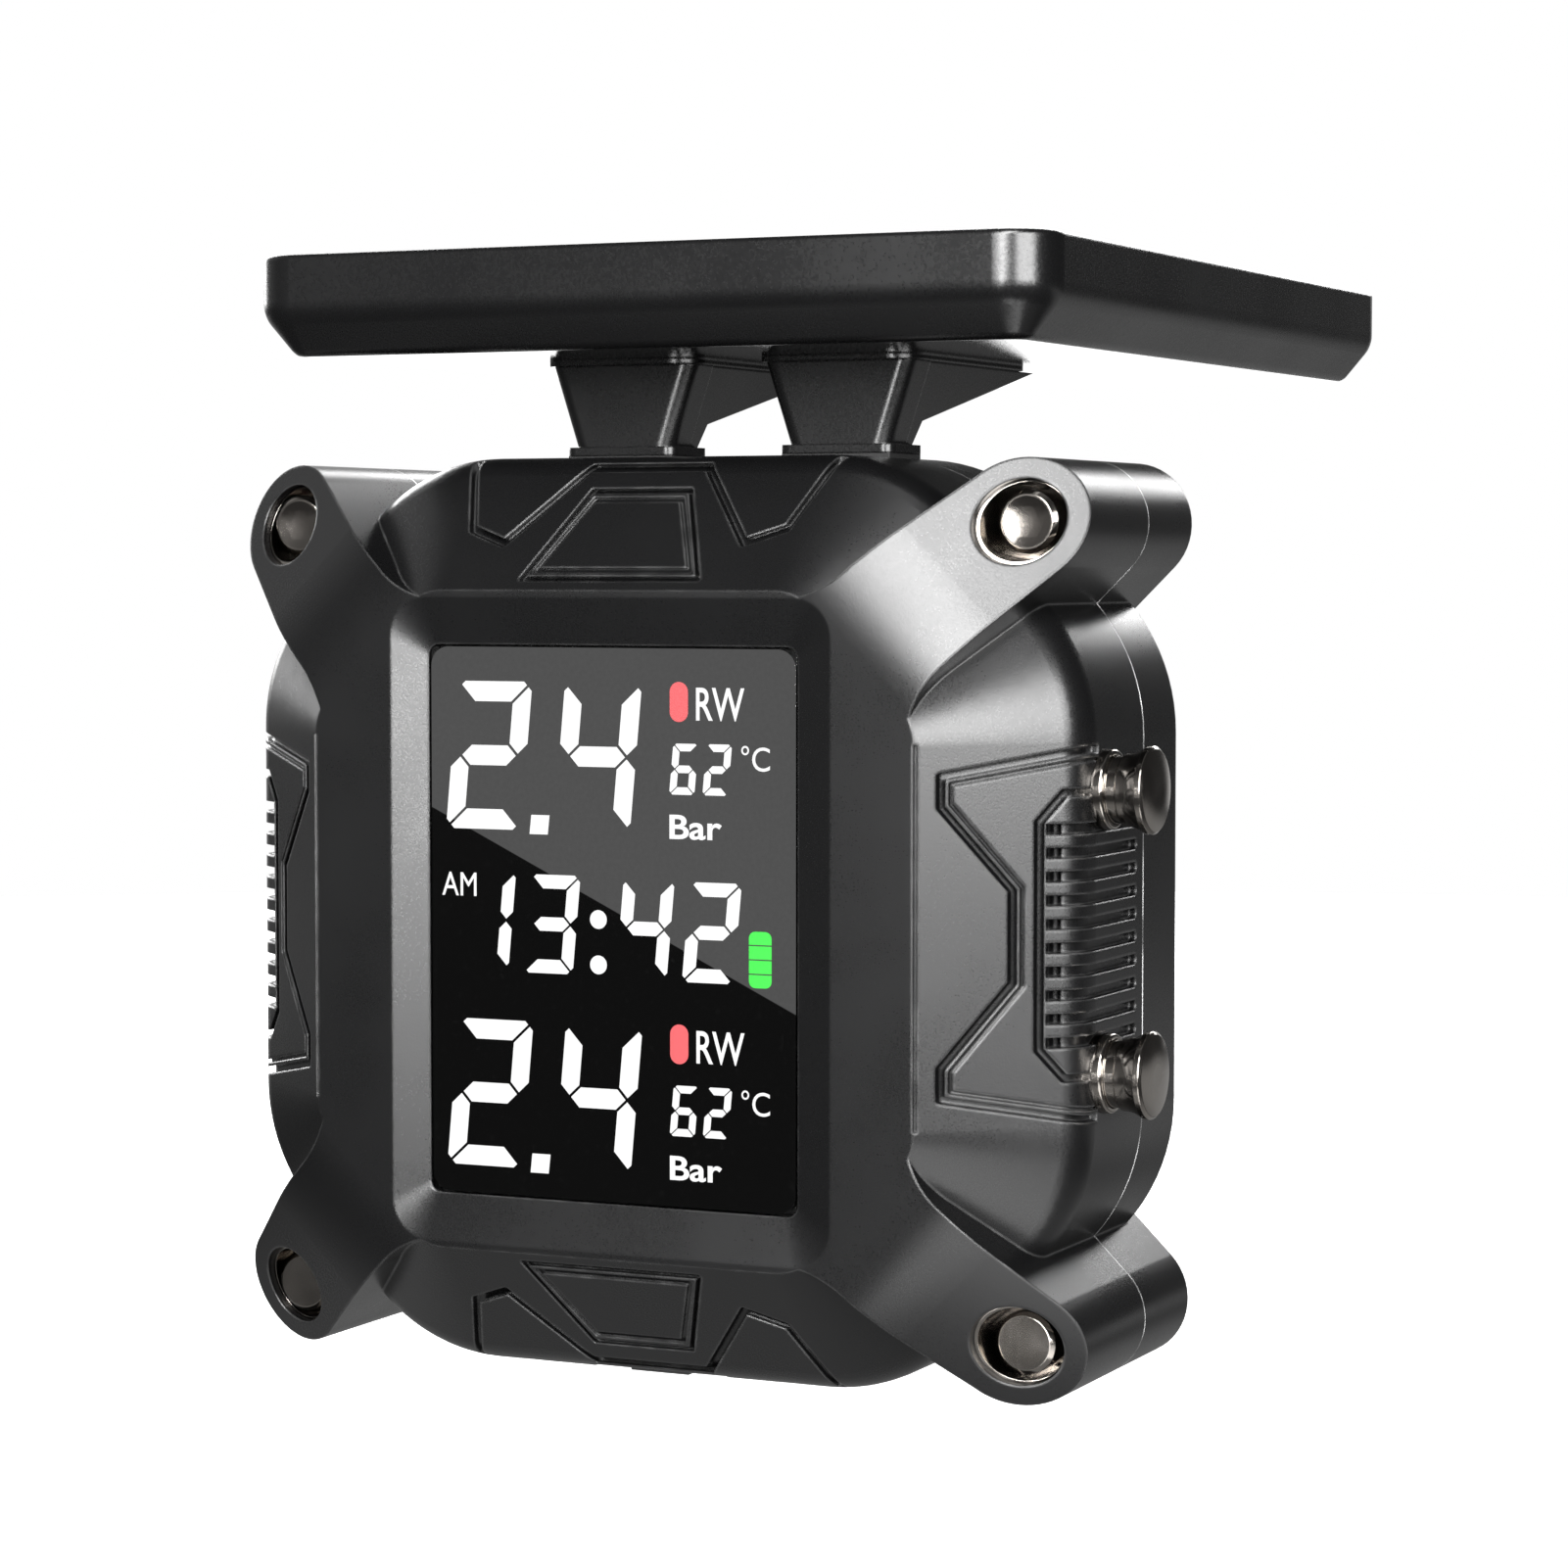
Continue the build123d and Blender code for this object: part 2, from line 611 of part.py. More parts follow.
def button_collars():
    flange = rod_x(BUTTON_Y, BUTTON_Z, 2.65, BODY_HALF, 32.1)
    flange = fillet(flange.faces().sort_by(Axis.X)[-1].edges(), 0.2)
    solid = flange + rod_x(BUTTON_Y, BUTTON_Z, 2.55, 29.2, 32)
    return pair_z(solid - rod_x(BUTTON_Y, BUTTON_Z, BARREL_R + FIT, 29, 33))


def switch_bodies():
    body = block(20.4, 24.4, BACK_FACE, BACK_FACE + 3.8, BUTTON_Z - 2.2, BUTTON_Z + 2.2)
    return pair_z(body - rod_x(BUTTON_Y, BUTTON_Z, 0.8 + FIT, 22.9, 25))


def switch_plunger(z):
    return rod_x(BUTTON_Y, z, 0.8, 23.6, 25.55)


# ---- charging port cover --------------------------------------------------
def port_cover():
    """Rubber-faced lid hinged on a pin at its rear edge; the nose fills the port opening."""
    solid = block(-6.9, 6.9, -17.8, PIN_Y, -31.35, -30.75)
    solid += rod_x(PIN_Y, PIN_Z, 0.6, -6.9, 6.9)
    solid += Pos(0, PORT_Y, -30.8) * extrude(SlotOverall(8.4, 2.6), 1.2)
    solid += block(-2.2, 2.2, -18.6, -17.7, -31.35, -30.95)
    return solid - rod_x(PIN_Y, PIN_Z, PIN_R + FIT, -8, 8)


def port_pin():
    return rod_x(PIN_Y, PIN_Z, PIN_R, -8.4, 8.4)


# ---- posts and solar roof -------------------------------------------------
def both_posts(offset_x):
    right = [POST_X - offset_x, POST_X + offset_x]
    return right + [-x for x in right]


def post_face(inset):
    """Front view of a post, wider at the top."""
    low = POST_BOTTOM - inset
    high = POST_TOP - inset
    points = [(POST_X - low, POST_Z), (POST_X + low, POST_Z), (POST_X + high, PAD_Z), (POST_X - high, PAD_Z)]
    return make_face(Polyline(*points, close=True))


def side_prism(points, x0, x1):
    """Outline drawn in Y and Z, made solid between two X positions."""
    face = make_face(Polyline(*points, close=True))
    return Pos(x0, 0, 0) * extrude(Plane.YZ * face, x1 - x0)


def post_right():
    front = slab(post_face(0), POST_FRONT_Y, POST_STEP_Y)
    edges = front.faces().sort_by(Axis.Y)[0].edges().sort_by(Axis.Z)[1:3]
    front = fillet(edges, 1.1)
    foot = block(POST_X - 4.3, POST_X + 4.3, -8.15, -2.4, FOOT_Z, POST_Z)
    foot = fillet(foot.edges().filter_by(Axis.Z), 0.8)
    plate = side_prism([(-4.7, POST_Z), (-2.4, POST_Z), (-0.5, PAD_Z), (-4.7, PAD_Z)], 0, 20)
    web = side_prism([(-2.9, 33.9), (16.0, PAD_Z), (-2.9, PAD_Z)], 0, 20)
    inner = slab(post_face(2.1), -5, 17)
    back = slab(post_face(0.5), -8, 17)
    solid = front + foot + (plate & back) + ((web & back) - inner)
    for x in (POST_X - POST_SCREW_X, POST_X + POST_SCREW_X):
        solid -= rod_z(x, POST_SCREW_Y, SCREW_R, 31, 35.3)
    for x in (POST_X - TRAY_SCREW_X, POST_X + TRAY_SCREW_X):
        solid -= rod_z(x, TRAY_SCREW_Y, SCREW_R, 34.5, 39)
    return solid - rod_z(POST_X, POST_SCREW_Y, SCREW_R, 31, 39)


def post_left():
    return mirror(post_right(), Plane.YZ)


def post_seals():
    pad = block(POST_X - 4.1, POST_X + 4.1, -8.0, -2.6, BODY_HALF, FOOT_Z)
    for x in (POST_X - POST_SCREW_X, POST_X + POST_SCREW_X):
        pad -= rod_z(x, POST_SCREW_Y, SCREW_R + FIT, 31, 32)
    return pair_x(pad - rod_z(POST_X, POST_SCREW_Y, SCREW_R, 31, 32))


def screw_up(x):
    screw = rod_z(x, POST_SCREW_Y, 1.6, 28.3, 29.4)
    screw += rod_z(x, POST_SCREW_Y, SCREW_R, 29.4, 35.0)
    return screw - (Pos(x, POST_SCREW_Y, 28.2) * extrude(RegularPolygon(0.8, 6), 0.7))


def screw_down(x):
    screw = rod_z(x, TRAY_SCREW_Y, 1.8, 40.4, 41.5)
    screw += rod_z(x, TRAY_SCREW_Y, SCREW_R, 34.8, 40.4)
    return screw - (Pos(x, TRAY_SCREW_Y, 40.9) * extrude(RegularPolygon(0.8, 6), 0.7))


def post_screws():
    return [screw_up(x) for x in both_posts(POST_SCREW_X)]


def tray_screws():
    return [screw_down(x) for x in both_posts(TRAY_SCREW_X)]


def tray_outline(inset):
    radius = max(TRAY_R - inset, 0.4)
    return Pos(0, TRAY_MID) * RectangleRounded(2 * (TRAY_X - inset), TRAY_LEN - 2 * inset, radius)


def tray_layer(inset, z0, z1):
    return Pos(0, 0, z0) * extrude(tray_outline(inset), z1 - z0)


def solar_tray():
    bend_z = TRAY_Z + TRAY_CHAMFER_H
    low = Pos(0, 0, TRAY_Z) * tray_outline(TRAY_CHAMFER_W)
    solid = loft([low, Pos(0, 0, bend_z) * tray_outline(0)], ruled=True)
    solid += tray_layer(0, bend_z, TRAY_TOP)
    bend = [e for e in solid.edges() if abs(e.center().Z - bend_z) < 0.01]
    solid = fillet(bend, 2.4)
    solid = fillet(solid.faces().sort_by(Axis.Z)[0].edges(), 1.1)
    solid = fillet(solid.faces().sort_by(Axis.Z)[-1].edges(), 0.35)
    for x in (POST_X, -POST_X):
        solid += Pos(x, 2.4, PAD_Z) * extrude(RectangleRounded(12.2, 22.0, 2), TRAY_Z - PAD_Z)
    solid -= tray_layer(1.7, 43.0, 46)
    solid -= tray_layer(3.6, 40.4, 43.5)
    for y in (8, 22, 36):
        solid += block(-26.4, 26.4, y - 0.6, y + 0.6, 40.3, 42.6)
    for x in both_posts(TRAY_SCREW_X):
        solid -= rod_z(x, TRAY_SCREW_Y, SCREW_R + FIT, 38, 41)
    return solid - rod_z(POST_X, POST_SCREW_Y, SCREW_R, 38, 41)


def solar_carrier():
    return tray_layer(1.8, 43.0, 43.8)


def solar_cells():
    """Row of identical cell strips across the carrier."""
    length = (TRAY_LEN - 8.0) / CELL_ROWS
    cells = []
    for k in range(CELL_ROWS):
        y0 = TRAY_Y0 + 4.0 + k * length
        cells.append(block(-26.6, 26.6, y0 + 0.3, y0 + length - 0.3, 43.8, 44.05))
    return cells


def solar_adhesive():
    return tray_layer(2.0, 44.05, 44.25)


def solar_cover():
    pane = tray_layer(1.8, 44.25, 45.35)
    return chamfer(pane.faces().sort_by(Axis.Z)[-1].edges(), 0.25)


# ---- output ---------------------------------------------------------------
def main():
    os.makedirs("parts", exist_ok=True)
    single = [front_casing, rear_casing, casing_gasket, display_window, window_tape, ear_ferrules]
    single += [ear_studs, ear_screws, mount_inserts, lcd_panel, lcd_frame, light_guide, backlight_leds]
    single += [lcd_ribbon, ribbon_connector, main_board, board_screws, board_chips, rf_shield]
    single += [antenna_coil, buzzer, wire_headers, wire_plugs, usb_socket, battery_cell, battery_foam]
    single += [battery_leads, solar_leads, button_upper, button_lower, button_collars, switch_bodies]
    single += [port_cover, port_pin, post_left, post_right, post_seals, post_screws, tray_screws]
    single += [solar_tray, solar_carrier, solar_cells, solar_adhesive, solar_cover]
    for build in single:
        save(build.__name__, build())
    for side, z in [("upper", BUTTON_Z), ("lower", -BUTTON_Z)]:
        save("button_" + side + "_seal", button_seal(z))
        save("button_" + side + "_clip", button_clip(z))
        save("switch_plunger_" + side, switch_plunger(z))


main()
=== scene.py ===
"""Looks of the tire pressure monitor: finishes, lit display, cell wiring, light and camera."""
import math

import bmesh
import bpy
from mathutils import Matrix, Vector

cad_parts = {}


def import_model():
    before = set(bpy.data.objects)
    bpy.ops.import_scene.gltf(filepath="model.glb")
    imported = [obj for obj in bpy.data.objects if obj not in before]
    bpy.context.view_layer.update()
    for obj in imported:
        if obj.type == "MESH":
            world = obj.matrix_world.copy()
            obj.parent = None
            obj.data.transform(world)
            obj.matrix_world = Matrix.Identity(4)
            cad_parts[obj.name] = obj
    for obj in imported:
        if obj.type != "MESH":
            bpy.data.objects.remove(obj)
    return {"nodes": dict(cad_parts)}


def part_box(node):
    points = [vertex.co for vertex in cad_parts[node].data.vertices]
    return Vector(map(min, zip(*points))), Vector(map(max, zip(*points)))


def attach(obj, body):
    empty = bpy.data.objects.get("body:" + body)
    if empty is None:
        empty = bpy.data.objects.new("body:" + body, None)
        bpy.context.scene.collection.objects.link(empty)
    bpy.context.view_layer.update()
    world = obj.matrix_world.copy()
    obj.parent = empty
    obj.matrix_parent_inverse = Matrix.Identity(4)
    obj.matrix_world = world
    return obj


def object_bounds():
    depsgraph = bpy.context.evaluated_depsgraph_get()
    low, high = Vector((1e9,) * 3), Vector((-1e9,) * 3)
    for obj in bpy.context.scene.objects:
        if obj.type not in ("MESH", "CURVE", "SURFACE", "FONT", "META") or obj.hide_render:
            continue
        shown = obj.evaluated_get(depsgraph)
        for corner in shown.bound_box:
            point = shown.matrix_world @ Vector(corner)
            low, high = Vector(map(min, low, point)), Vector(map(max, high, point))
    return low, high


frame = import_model()
cad_low, cad_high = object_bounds()

MM = 0.001
SEAM_Y = -8.66 * MM
UP = Vector((0, 0, 1))

# ---------------------------------------------------------------- node trees


class Shader:
    """A node tree under construction. add() makes one node and wires or sets its inputs."""

    def __init__(self, name):
        self.material = bpy.data.materials.new(name)
        self.material.use_nodes = True
        self.tree = self.material.node_tree
        self.tree.nodes.clear()
        self.output = self.tree.nodes.new("ShaderNodeOutputMaterial")
        self.place = self.add("TexCoord").outputs["Object"]

    def add(self, kind, inputs=None, **settings):
        node = self.tree.nodes.new("ShaderNode" + kind)
        for key, value in settings.items():
            setattr(node, key, value)
        for key, value in (inputs or {}).items():
            self.plug(node, key, value)
        return node

    def plug(self, node, key, value):
        if isinstance(value, bpy.types.Node):
            value = value.outputs[0]
        if isinstance(value, bpy.types.NodeSocket):
            self.tree.links.new(value, node.inputs[key])
        else:
            node.inputs[key].default_value = value

    def finish(self, surface):
        self.plug(self.output, "Surface", surface)
        return self.material

    def noise(self, size_mm, detail=2.0, stretch=(1, 1, 1)):
        """Noise with features of about size_mm, from 0 to 1."""
        place = self.add("Mapping", {"Vector": self.place, "Scale": stretch})
        inputs = {"Vector": place, "Scale": 1 / (size_mm * MM), "Detail": detail}
        return self.add("TexNoise", inputs).outputs[0]

    def cells(self, size_mm, feature="F1"):
        inputs = {"Vector": self.place, "Scale": 1 / (size_mm * MM)}
        return self.add("TexVoronoi", inputs, feature=feature).outputs[0]

    def span(self, value, low, high, to_low, to_high):
        """value from low..high spread over to_low..to_high."""
        inputs = {0: value, 1: low, 2: high, 3: to_low, 4: to_high}
        return self.add("MapRange", inputs).outputs[0]

    def sums(self, operation, a, b=0.0):
        return self.add("Math", {0: a, 1: b}, operation=operation).outputs[0]

    def blend(self, factor, a, b):
        mix = self.add("Mix", data_type="RGBA")
        self.plug(mix, "Factor", factor)
        for name, value in (("A", a), ("B", b)):
            socket = [s for s in mix.inputs if s.name == name and s.type == "RGBA"][0]
            if isinstance(value, bpy.types.NodeSocket):
                self.tree.links.new(value, socket)
            else:
                socket.default_value = (*value, 1)
        return [s for s in mix.outputs if s.type == "RGBA"][0]

    def bump(self, height, depth_mm, normal=None):
        inputs = {"Height": height, "Distance": depth_mm * MM, "Strength": 1.0}
        if normal is not None:
            inputs["Normal"] = normal
        return self.add("Bump", inputs).outputs[0]

    def rounded(self, radius_mm):
        """A shading normal that softens the edges, and a mask that is 1 on them."""
        soft = self.add("Bevel", {"Radius": radius_mm * MM}, samples=6).outputs[0]
        true = self.add("NewGeometry").outputs["Normal"]
        dot = self.add("VectorMath", {0: soft, 1: true}, operation="DOT_PRODUCT").outputs["Value"]
        return soft, self.span(dot, 0.995, 0.86, 0.0, 1.0)


def painted_seam_highlight(s):
    """1 on a fine, broken line of painted highlight where the two casing halves meet, on the side walls only.
    """
    depth = s.add("SeparateXYZ", {0: s.place}).outputs["Y"]
    offset = s.sums("ABSOLUTE", s.sums("SUBTRACT", depth, SEAM_Y))
    line = s.span(offset, 0.05 * MM, 0.11 * MM, 1.0, 0.0)
    facing = s.add("SeparateXYZ", {0: s.add("NewGeometry").outputs["Normal"]}).outputs["Y"]
    wall = s.span(s.sums("ABSOLUTE", facing), 0.4, 0.6, 1.0, 0.0)
    broken = s.span(s.noise(3.5, 2.0), 0.40, 0.55, 0.15, 1.0)
    return s.sums("MULTIPLY", s.sums("MULTIPLY", line, wall), broken)


def solid_finish(name, look):
    """One moulded, painted, plated or bare finish: tone, grain, gloss variation, and light edges that are
    real abrasion on most finishes and partly a painted highlight on the black plastics.
    """
    s = Shader(name)
    normal, edge = s.rounded(look.get("edge", 0.12))
    patches = s.noise(look.get("patch", 9.0), 3.0)
    grain = s.noise(look["grain"], 2.0, look.get("stretch", (1, 1, 1)))
    tone = s.blend(patches, look["colour"], look.get("second", [0.75 * c for c in look["colour"]]))
    speck = s.span(grain, 0.35, 0.7, 0.0, look.get("speck", 0.25))
    tone = s.blend(speck, tone, [0.45 * c for c in look["colour"]])
    # Light edges: real abrasion, and on the black plastics also a painted highlight on edges and groove lips.
    wear_and_highlight = s.sums("MULTIPLY", edge, s.span(s.noise(1.7, 4.0), 0.42, 0.66, 0.4, 1.0))
    wear_and_highlight = s.sums("MULTIPLY", wear_and_highlight, look.get("wear_and_highlight", 0.3))
    tone = s.blend(wear_and_highlight, tone, look.get("worn_and_highlit_tone", [min(1.0, 2.2 * c + 0.01) for c in look["colour"]]))
    # Painted highlight: a light line along the parting of the casing halves.
    if look.get("seam_highlight"):
        tone = s.blend(painted_seam_highlight(s), tone, look["seam_highlight"])
    low, high = look["rough"]
    rough = s.span(patches, 0.3, 0.7, low, high)
    rough = s.sums("ADD", rough, s.span(grain, 0.3, 0.7, -0.03, 0.03))
    normal = s.bump(grain, look["depth"], normal)
    if look.get("polished"):
        facing = s.add("SeparateXYZ", {0: s.add("NewGeometry").outputs["True Normal"]}).outputs["Z"]
        under = s.span(facing, -0.97, -0.99, 0.0, 1.0)
        rough = s.sums("MULTIPLY", rough, s.span(under, 0.0, 1.0, 1.0, 0.22))
    inputs = {
        "Base Color": tone, "Roughness": rough, "Normal": normal,
        "Metallic": look.get("metal", 0.0), "Specular IOR Level": look.get("specular", 0.5),
        "Coat Weight": look.get("coat", 0.0), "Coat Roughness": 0.12,
    }
    return s.finish(s.add("BsdfPrincipled", inputs))


# On the black plastics the edge colour is partly a painted edge highlight; the casing's parting line colour
# is a painted highlight.
SOLID_LOOKS = {
    "casing_plastic": dict(colour=(0.0030, 0.0030, 0.0032), rough=(0.27, 0.32), grain=0.14, depth=0.0035,
                           edge=0.28, wear_and_highlight=0.6, worn_and_highlit_tone=(0.08, 0.08, 0.08), specular=0.6,
                           seam_highlight=(0.9, 0.9, 0.9)),
    "roof_plastic": dict(colour=(0.0032, 0.0032, 0.0034), rough=(0.25, 0.30), grain=0.22, depth=0.005,
                         edge=0.22, wear_and_highlight=0.35, worn_and_highlit_tone=(0.05, 0.05, 0.05), specular=0.6, polished=True),
    "post_plastic": dict(colour=(0.0045, 0.0045, 0.0047), rough=(0.25, 0.31), grain=0.2, depth=0.004,
                         edge=0.16, wear_and_highlight=0.2, worn_and_highlit_tone=(0.05, 0.05, 0.05), specular=0.6),
    "window_tape": dict(colour=(0.006, 0.006, 0.006), rough=(0.7, 0.85), grain=0.12, depth=0.02),
    "steel": dict(colour=(0.52, 0.52, 0.53), rough=(0.25, 0.38), grain=0.18, depth=0.006, metal=1.0,
                  stretch=(1, 6, 1)),
    "black_screw": dict(colour=(0.03, 0.03, 0.032), rough=(0.32, 0.45), grain=0.15, depth=0.006, metal=0.7),
    "brass": dict(colour=(0.62, 0.43, 0.16), rough=(0.22, 0.34), grain=0.15, depth=0.006, metal=1.0,
                  second=(0.48, 0.3, 0.1)),
    "seal_rubber": dict(colour=(0.014, 0.014, 0.014), rough=(0.62, 0.78), grain=0.12, depth=0.015),
    "lcd_glass": dict(colour=(0.01, 0.01, 0.013), rough=(0.08, 0.14), grain=0.3, depth=0.001),
    "frame_white": dict(colour=(0.72, 0.72, 0.70), rough=(0.42, 0.52), grain=0.2, depth=0.008),
    "led_white": dict(colour=(0.85, 0.82, 0.55), rough=(0.3, 0.4), grain=0.1, depth=0.006,
                      second=(0.85, 0.7, 0.2)),
    "ribbon": dict(colour=(0.42, 0.18, 0.03), rough=(0.25, 0.35), grain=0.5, depth=0.008,
                   stretch=(8, 1, 1), coat=0.5),
    "chip_black": dict(colour=(0.02, 0.02, 0.021), rough=(0.5, 0.62), grain=0.08, depth=0.008),
    "tin_can": dict(colour=(0.42, 0.42, 0.41), rough=(0.42, 0.52), grain=0.3, depth=0.008, metal=1.0),
    "copper_wire": dict(colour=(0.75, 0.33, 0.16), rough=(0.2, 0.32), grain=0.12, depth=0.006, metal=1.0),
    "connector_white": dict(colour=(0.76, 0.74, 0.66), rough=(0.38, 0.48), grain=0.2, depth=0.006),
    "battery_foil": dict(colour=(0.5, 0.51, 0.53), rough=(0.26, 0.4), grain=0.7, depth=0.03, metal=0.85),
    "foam": dict(colour=(0.03, 0.03, 0.03), rough=(0.85, 0.95), grain=0.35, depth=0.08, speck=0.7),
    "lead_red": dict(colour=(0.42, 0.02, 0.015), rough=(0.36, 0.46), grain=0.3, depth=0.006),
    "solar_board": dict(colour=(0.70, 0.70, 0.67), rough=(0.45, 0.55), grain=0.25, depth=0.01, specular=0.1),
}


def nickel(name):
    """Dark bright plating with faint polishing marks and a smoky tone; flat front faces are brushed."""
    s = Shader(name)
    normal, edge = s.rounded(0.10)
    smoke = s.noise(2.6, 3.0)
    marks = s.noise(0.12, 2.0, (0.25, 3, 3))
    tone = s.blend(smoke, (0.27, 0.25, 0.225), (0.42, 0.39, 0.36))
    # Painted highlight: edges lightened towards a pale nickel tone.
    tone = s.blend(s.sums("MULTIPLY", edge, 0.2), tone, (0.62, 0.59, 0.56))
    rough = s.sums("ADD", s.span(smoke, 0.3, 0.7, 0.10, 0.16), s.span(marks, 0.3, 0.7, -0.015, 0.015))
    facing = s.add("SeparateXYZ", {0: s.add("NewGeometry").outputs["True Normal"]}).outputs["Y"]
    rough = s.sums("ADD", rough, s.span(facing, -0.985, -0.998, 0.0, 0.09))
    normal = s.bump(marks, 0.0015, normal)
    inputs = {"Base Color": tone, "Roughness": rough, "Normal": normal, "Metallic": 1.0}
    return s.finish(s.add("BsdfPrincipled", inputs))


def clear_sheet(name, tint, gloss, dust, edge_gloss=0.85, haze_range=(0.03, 0.09)):
    """A clear hard sheet: straight-through light, a grazing sheen and a trace of dust."""
    s = Shader(name)
    haze = s.noise(6.0, 3.0)
    fine = s.noise(0.4, 2.0)
    through = s.add("BsdfTransparent", {"Color": (*tint, 1)})
    normal = s.bump(haze, 0.004)
    sheen = s.add("BsdfGlossy", {"Roughness": s.span(haze, 0.3, 0.7, *haze_range), "Normal": normal})
    facing = s.add("LayerWeight", {"Blend": 0.25}).outputs["Fresnel"]
    share = s.span(facing, 0.02, 1.0, gloss, edge_gloss)
    surface = s.add("MixShader", {0: share, 1: through, 2: sheen})
    film = s.add("BsdfDiffuse", {"Color": (0.6, 0.6, 0.6, 1)})
    amount = s.sums("MULTIPLY", s.span(fine, 0.62, 0.8, 0.0, 1.0), dust)
    return s.finish(s.add("MixShader", {0: amount, 1: surface, 2: film}))


def light_guide(name):
    """Clear acrylic with a printed dot pattern."""
    s = Shader(name)
    dots = s.span(s.cells(0.8), 0.22, 0.3, 1.0, 0.0)
    tone = s.blend(dots, (0.55, 0.58, 0.60), (0.92, 0.93, 0.93))
    normal = s.bump(dots, 0.01)
    inputs = {"Base Color": tone, "Roughness": 0.16, "Normal": normal, "Transmission Weight": 0.35}
    return s.finish(s.add("BsdfPrincipled", inputs))


def circuit_board(name):
    """Green solder mask over copper tracks, with bare pads."""
    s = Shader(name)
    turned = s.add("Mapping", {"Vector": s.place, "Rotation": (math.radians(90), 0, 0)})
    layout = {"Vector": turned, "Scale": 420.0, "Mortar Size": 0.09, "Brick Width": 1.7, "Row Height": 0.45}
    tracks = s.add("TexBrick", layout).outputs["Fac"]
    pads = s.span(s.cells(2.3), 0.13, 0.16, 1.0, 0.0)
    tone = s.blend(tracks, (0.006, 0.075, 0.028), (0.012, 0.15, 0.05))
    tone = s.blend(pads, tone, (0.55, 0.47, 0.3))
    normal = s.bump(s.sums("ADD", tracks, pads), 0.02)
    rough = s.span(s.noise(4.0), 0.3, 0.7, 0.22, 0.34)
    metal = s.sums("MULTIPLY", pads, 0.9)
    inputs = {"Base Color": tone, "Roughness": rough, "Normal": normal, "Metallic": metal}
    return s.finish(s.add("BsdfPrincipled", inputs))


def solar_cell(name):
    """Blue-black silicon: crystal facets that change tone, and an etched surface."""
    s = Shader(name)
    facets = s.cells(3.2)
    etched = s.noise(0.06, 1.0)
    tone = s.blend(s.span(facets, 0.1, 0.8, 0.0, 1.0), (0.006, 0.009, 0.030), (0.012, 0.02, 0.062))
    tone = s.blend(s.span(s.noise(12.0), 0.35, 0.65, 0.0, 0.6), tone, (0.010, 0.010, 0.026))
    normal = s.bump(etched, 0.004)
    inputs = {"Base Color": tone, "Roughness": 0.5, "Normal": normal, "Specular IOR Level": 0.0}
    return s.finish(s.add("BsdfPrincipled", inputs))


SLOT_MAKERS = {
    "nickel": nickel,
    "window_glass": lambda name: clear_sheet(name, (0.98, 0.98, 0.98), 0.003, 0.002),
    "clear_film": lambda name: clear_sheet(name, (0.97, 0.97, 0.95), 0.002, 0.02, 0.01, (0.20, 0.28)),
    "solar_glass": lambda name: clear_sheet(name, (0.96, 0.97, 0.98), 0.008, 0.04, 0.03, (0.14, 0.20)),
    "light_guide": light_guide,
    "board_green": circuit_board,
    "solar_cell": solar_cell,
}


def paint_frame():
    """Every CAD node takes the detailed finish of its material slot."""
    made = {}
    for node in frame["nodes"].values():
        for place in node.material_slots:
            name = place.material.name.split(".")[0]
            if name not in made:
                maker = SLOT_MAKERS.get(name)
                full = "finish_" + name
                made[name] = maker(full) if maker else solid_finish(full, SOLID_LOOKS[name])
            place.material = made[name]
    return made


finishes = paint_frame()

# ---------------------------------------------------------------- lit display

window_low, window_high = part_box("display_window")
FILM_MARGIN = 0.12 * MM
FILM_THICK = 0.03 * MM
MARK_THICK = 0.02 * MM
FILM_CORNER = 1.3 * MM
MARK_INSET = 0.04 * MM
WELD = 0.0005 * MM
film_half = Vector((window_high.x - FILM_MARGIN, 0, window_high.z - FILM_MARGIN))
mark_front = window_low.y + MARK_INSET
film_front = mark_front + MARK_THICK

# The slanted line above which the display face carries a painted glare, a reflection given as glow.
PAINTED_GLARE_SLOPE = -0.4755
PAINTED_GLARE_OFFSET = 1.14 * MM
PAINTED_GLARE_SOFT = 0.03 * MM

# The display layout, in mm: its centre, the lean of the figures and the sizes of their bars.
LAYOUT_X = 0.53
LAYOUT_Z = 0.07
SLANT = math.tan(math.radians(5.3))
NIP_SHARE = 0.18
BIG_FIGURE = dict(width=5.75, height=10.0, stroke=1.36, gap=0.2)
SMALL_FIGURE = dict(width=1.85, height=3.38, stroke=0.5, gap=0.08)
CLOCK_FIGURE = dict(width=3.78, height=6.65, stroke=0.93, gap=0.15)
BLOCK_STEP = 22.9
SMALL_STEP = 22.7
PILL_ROUND = 0.66
COLON_X = -1.42
COLON_HEIGHTS = (-2.72, 0.32)
COLON_RADIUS = 0.63


